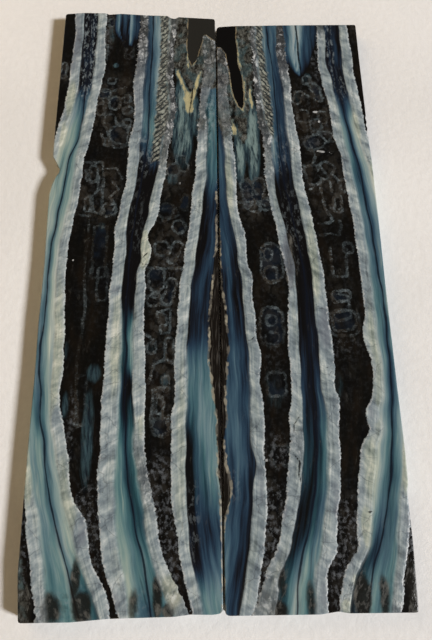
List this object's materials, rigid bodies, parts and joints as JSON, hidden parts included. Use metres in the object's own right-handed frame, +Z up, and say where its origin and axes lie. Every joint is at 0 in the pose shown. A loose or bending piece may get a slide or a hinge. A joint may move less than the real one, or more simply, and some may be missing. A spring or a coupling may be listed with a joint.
{
  "type": "fossil mammoth tooth",
  "caption": "Thin polished plates sawn from a resin-stabilised fossil mammoth molar, lying edge to edge as mirror images, with wavy enamel bands.",
  "frame": {"origin": "middle of the pair's box, on the surface that the slabs lie on", "axes": "+Z up out of the polished faces, +Y along the slabs towards the end with the black resin wedges, +X from the left slab to the right slab"},
  "size_m": [0.0682, 0.127, 0.0032],
  "materials": {
    "left_tooth": "sawn and polished tooth, stabilised with blue-dyed resin: pale enamel bands, blue dentine, near-black cement, satin polish",
    "right_tooth": "sawn and polished tooth, stabilised with blue-dyed resin: pale enamel bands, deep blue dentine, near-black cement, satin polish"
  },
  "bodies": {
    "root": {"left_slab": "left_tooth", "right_slab": "right_tooth"}
  },
  "joints": []
}
